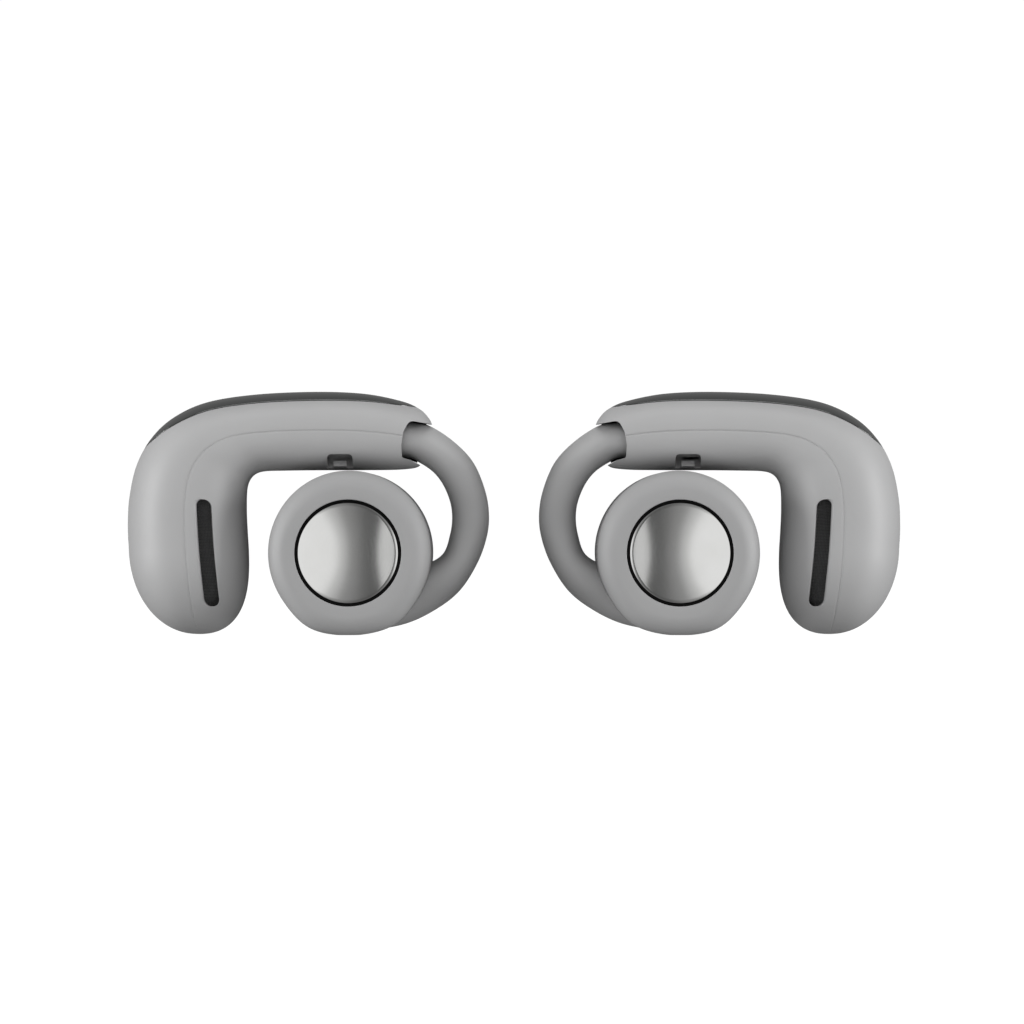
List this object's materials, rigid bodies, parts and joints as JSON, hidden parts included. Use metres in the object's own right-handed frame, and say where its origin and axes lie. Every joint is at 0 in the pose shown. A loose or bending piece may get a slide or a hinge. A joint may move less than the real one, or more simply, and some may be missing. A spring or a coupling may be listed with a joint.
{
  "type": "open-ear headphones",
  "caption": "Pair of ear-hook open headphones, each with a driver pod, a flexible hook and a round battery capsule with a polished end button.",
  "frame": {"origin": "midway between the two earpieces, at the height of their lowest points", "axes": "+Z away from the wearer's head, +X to the wearer's right, -Y towards the polished buttons"},
  "size_m": [0.0772, 0.022, 0.0242],
  "materials": {
    "gloss_cover": "high gloss with a clear coat",
    "pod_plastic": "soft-touch satin grey",
    "capsule_plastic": "soft-touch satin grey",
    "hook_silicone": "matt silicone",
    "dark_mesh": "fine dark woven mesh",
    "black_rubber": "matt black",
    "polished_metal": "polished with a fine spin",
    "dark_plastic": "matt moulded",
    "bright_steel": "stamped, satin",
    "magnet_plate": "nickel plated",
    "circuit_board": "solder mask",
    "contact_gold": "gold plated",
    "film": "thin plastic film",
    "copper": "enamelled copper winding",
    "cell_wrap": "shrink-wrap sleeve"
  },
  "bodies": {
    "left_pod": {"left_glossy_cover": "gloss_cover", "left_outer_shell": "pod_plastic", "left_inner_shell": "pod_plastic", "left_slot_grille": "dark_mesh", "left_main_board": "circuit_board", "left_shield_can": "bright_steel", "left_antenna": "contact_gold", "left_voice_mic": "contact_gold", "left_driver_frame": "dark_plastic", "left_driver_yoke": "bright_steel", "left_driver_magnet": "magnet_plate", "left_driver_top_plate": "bright_steel", "left_driver_surround": "black_rubber", "left_hook_clamp": "dark_plastic", "left_hook_root": "hook_silicone", "left_memory_wire": "bright_steel", "left_hook_cable": "black_rubber"},
    "left_capsule": {"left_hook_tip": "hook_silicone", "left_capsule_body": "capsule_plastic", "left_battery_cell": "cell_wrap", "left_protection_board": "circuit_board", "left_charge_contacts": "contact_gold", "left_button_seal": "black_rubber", "left_button_switch": "bright_steel", "left_button_board": "circuit_board"},
    "left_cone": {"left_diaphragm": "film", "left_voice_coil": "copper"},
    "left_button": {"left_button_disc": "polished_metal"},
    "right_pod": {"right_glossy_cover": "gloss_cover", "right_outer_shell": "pod_plastic", "right_inner_shell": "pod_plastic", "right_slot_grille": "dark_mesh", "right_main_board": "circuit_board", "right_shield_can": "bright_steel", "right_antenna": "contact_gold", "right_voice_mic": "contact_gold", "right_driver_frame": "dark_plastic", "right_driver_yoke": "bright_steel", "right_driver_magnet": "magnet_plate", "right_driver_top_plate": "bright_steel", "right_driver_surround": "black_rubber", "right_hook_clamp": "dark_plastic", "right_hook_root": "hook_silicone", "right_memory_wire": "bright_steel", "right_hook_cable": "black_rubber"},
    "right_capsule": {"right_hook_tip": "hook_silicone", "right_capsule_body": "capsule_plastic", "right_battery_cell": "cell_wrap", "right_protection_board": "circuit_board", "right_charge_contacts": "contact_gold", "right_button_seal": "black_rubber", "right_button_switch": "bright_steel", "right_button_board": "circuit_board"},
    "right_cone": {"right_diaphragm": "film", "right_voice_coil": "copper"},
    "right_button": {"right_button_disc": "polished_metal"}
  },
  "joints": [
    {"name": "left_hook_flex", "type": "hinge", "parent": "left_pod", "child": "left_capsule", "pos_m": [-0.0025, 0, 0.0119], "axis": [0, -1, 0], "range_deg": [0, 22], "stiffness_Nm_per_rad": 0.15, "springref_deg": -5.73, "deforming": ["left_memory_wire", "left_hook_cable"]},
    {"name": "left_button_press", "type": "slide", "parent": "left_capsule", "child": "left_button", "axis": [0, 1, 0], "range_m": [0, 0.00025], "stiffness_N_per_m": 1500, "springref_m": -0.0002},
    {"name": "left_cone_travel", "type": "slide", "parent": "left_pod", "child": "left_cone", "axis": [1, 0, 0], "range_m": [-0.0002, 0.0002], "stiffness_N_per_m": 600},
    {"name": "right_hook_flex", "type": "hinge", "parent": "right_pod", "child": "right_capsule", "pos_m": [0.0025, 0, 0.0119], "axis": [0, 1, 0], "range_deg": [0, 22], "stiffness_Nm_per_rad": 0.15, "springref_deg": -5.73, "deforming": ["right_memory_wire", "right_hook_cable"]},
    {"name": "right_button_press", "type": "slide", "parent": "right_capsule", "child": "right_button", "axis": [0, 1, 0], "range_m": [0, 0.00025], "stiffness_N_per_m": 1500, "springref_m": -0.0002},
    {"name": "right_cone_travel", "type": "slide", "parent": "right_pod", "child": "right_cone", "axis": [1, 0, 0], "range_m": [-0.0002, 0.0002], "stiffness_N_per_m": 600},
    {"name": "right_lift", "type": "slide", "parent": "left_pod", "child": "right_pod", "axis": [0, 0, 1], "range_m": [0, 0.03]}
  ]
}
